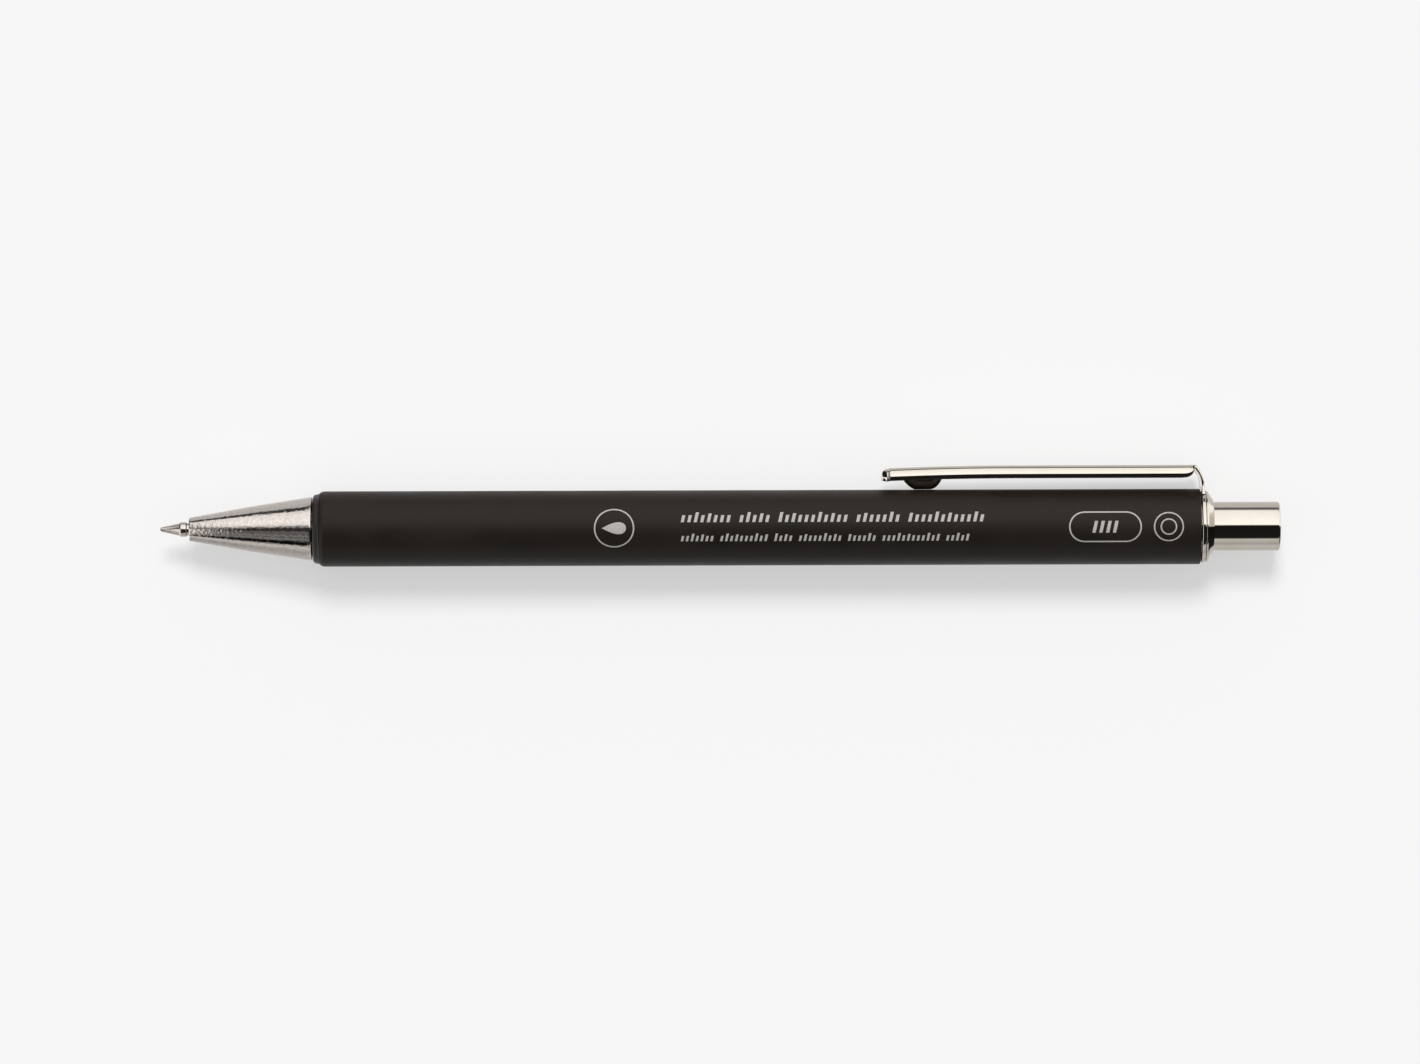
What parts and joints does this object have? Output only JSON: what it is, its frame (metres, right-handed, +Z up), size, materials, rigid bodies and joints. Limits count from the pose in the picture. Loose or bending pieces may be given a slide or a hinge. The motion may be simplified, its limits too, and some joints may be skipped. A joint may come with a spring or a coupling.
{
  "type": "retractable gel pen",
  "caption": "Slim click pen lying on its side: rubber-sleeved barrel, metal cone, pressed clip, push button, latching cam and spring-loaded gel refill.",
  "frame": {"origin": "on the surface the barrel rests on, straight below the pen's axis, half way along the pen's length with the refill out", "axes": "+X along the pen from the writing point to the push button, +Y towards the clip, +Z up from the surface it lies on"},
  "size_m": [0.142, 0.0126, 0.0096],
  "materials": {
    "sleeve_rubber": "matte soft-touch black",
    "barrel_plastic": "satin black, moulded",
    "cone_plating": "bright plating over a finely turned cone",
    "bright_plating": "mirror-bright plating",
    "spring_steel": "drawn wire",
    "nickel_silver": "turned and polished",
    "hard_ball": "ground and lapped",
    "white_plastic": "natural moulded",
    "clear_plastic": "milky clear, extruded",
    "black_ink": "wet black gel",
    "print_ink": "pad-printed light grey",
    "grease": "pale translucent grease"
  },
  "bodies": {
    "barrel": {"grip_sleeve": "sleeve_rubber", "barrel_tube": "barrel_plastic", "front_collar": "barrel_plastic", "end_cap": "bright_plating", "clip_ring": "bright_plating", "cam_guide": "white_plastic", "return_spring": "spring_steel"},
    "clip": {"clip_arm": "bright_plating"},
    "nose": {"nose_cone": "cone_plating"},
    "button": {"button": "bright_plating", "plunger": "white_plastic"},
    "refill": {"writing_ball": "hard_ball", "point_body": "nickel_silver", "tip_holder": "white_plastic", "ink_tube": "clear_plastic", "ink_column": "black_ink", "ink_follower": "grease", "follower_float": "white_plastic", "tube_plug": "white_plastic"},
    "rotor": {"rotor": "white_plastic"}
  },
  "joints": [
    {"name": "button_press", "type": "slide", "parent": "barrel", "child": "button", "axis": [-1, 0, 0], "range_m": [-0.0045, 0.001]},
    {"name": "refill_slide", "type": "slide", "parent": "barrel", "child": "refill", "axis": [-1, 0, 0], "range_m": [-0.0045, 0.001], "deforming": ["return_spring"]},
    {"name": "rotor_turn", "type": "hinge", "parent": "refill", "child": "rotor", "pos_m": [0.03, 0, 0.00479], "axis": [1, 0, 0], "range_deg": [-11, 46]},
    {"name": "clip_flex", "type": "hinge", "parent": "barrel", "child": "clip", "pos_m": [0.06118, 0.00512, 0.00479], "axis": [0, 0, -1], "range_deg": [0, 4], "stiffness_Nm_per_rad": 2.2, "springref_deg": -1.15},
    {"name": "nose_unscrew", "type": "slide", "parent": "barrel", "child": "nose", "axis": [-1, 0, 0], "range_m": [0, 0.0076]}
  ],
  "couplings": [
    {"joint": "refill_slide", "follows": "button_press", "ratio": 1},
    {"joint": "rotor_turn", "follows": "button_press", "rad_per_m": -174.53}
  ]
}
